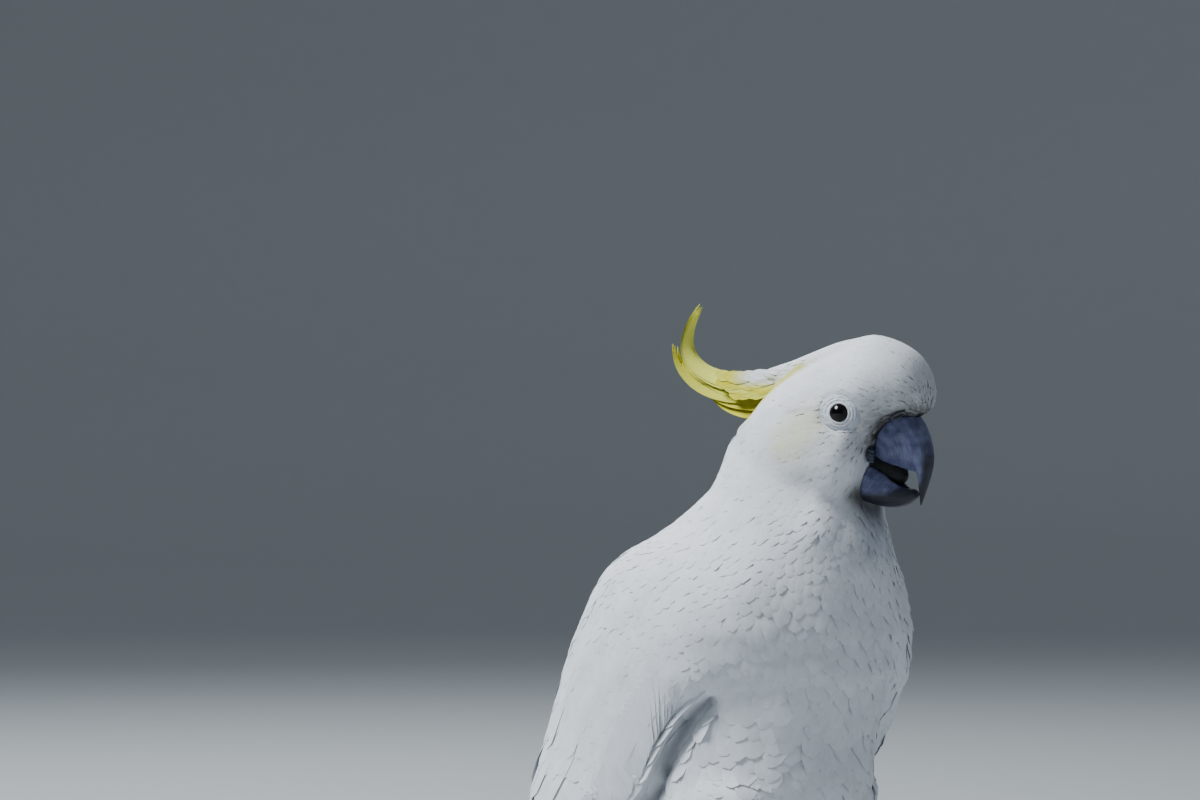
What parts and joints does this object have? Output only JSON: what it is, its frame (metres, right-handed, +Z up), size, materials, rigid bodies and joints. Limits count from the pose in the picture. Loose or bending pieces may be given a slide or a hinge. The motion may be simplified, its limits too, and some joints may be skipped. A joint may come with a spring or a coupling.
{
  "type": "white cockatoo",
  "caption": "A white parrot with a swept-back yellow crest and a dark hooked bill, standing upright with its head turned a little, resting on its feet and the tip of its tail.",
  "frame": {"origin": "on the ground, under the middle of the whole bird's box", "axes": "+X the way the breast faces, +Y the bird's left, +Z up"},
  "size_m": [0.377, 0.1244, 0.3097],
  "materials": {
    "plumage_white": "soft matt feather",
    "plumage_yellow": "soft matt feather",
    "bill": "horn with a grey bloom",
    "eye": "wet gloss",
    "eye_skin": "bare wrinkled skin",
    "mouth": "moist skin",
    "foot_skin": "dry scaled skin",
    "claw": "satin horn"
  },
  "bodies": {
    "root": {"head": "plumage_white", "bill_upper": "bill", "bill_lower": "bill", "tongue": "mouth", "crest_cap": "plumage_white", "right_eye": "eye", "left_eye": "eye", "right_eye_ring": "eye_skin", "left_eye_ring": "eye_skin", "crest_plume_1": "plumage_yellow", "crest_plume_2": "plumage_yellow", "crest_plume_3": "plumage_yellow", "crest_plume_4": "plumage_yellow", "crest_plume_5": "plumage_yellow", "crest_plume_6": "plumage_yellow", "neck": "plumage_white", "trunk": "plumage_white", "tail": "plumage_white", "right_wing_coverts": "plumage_white", "right_wing_secondaries": "plumage_white", "right_wing_primaries": "plumage_white", "right_thigh": "plumage_white", "right_foot": "foot_skin", "right_claw_1": "claw", "right_claw_2": "claw", "right_claw_3": "claw", "right_claw_4": "claw", "left_wing_coverts": "plumage_white", "left_wing_secondaries": "plumage_white", "left_wing_primaries": "plumage_white", "left_thigh": "plumage_white", "left_foot": "foot_skin", "left_claw_1": "claw", "left_claw_2": "claw", "left_claw_3": "claw", "left_claw_4": "claw"}
  },
  "joints": []
}
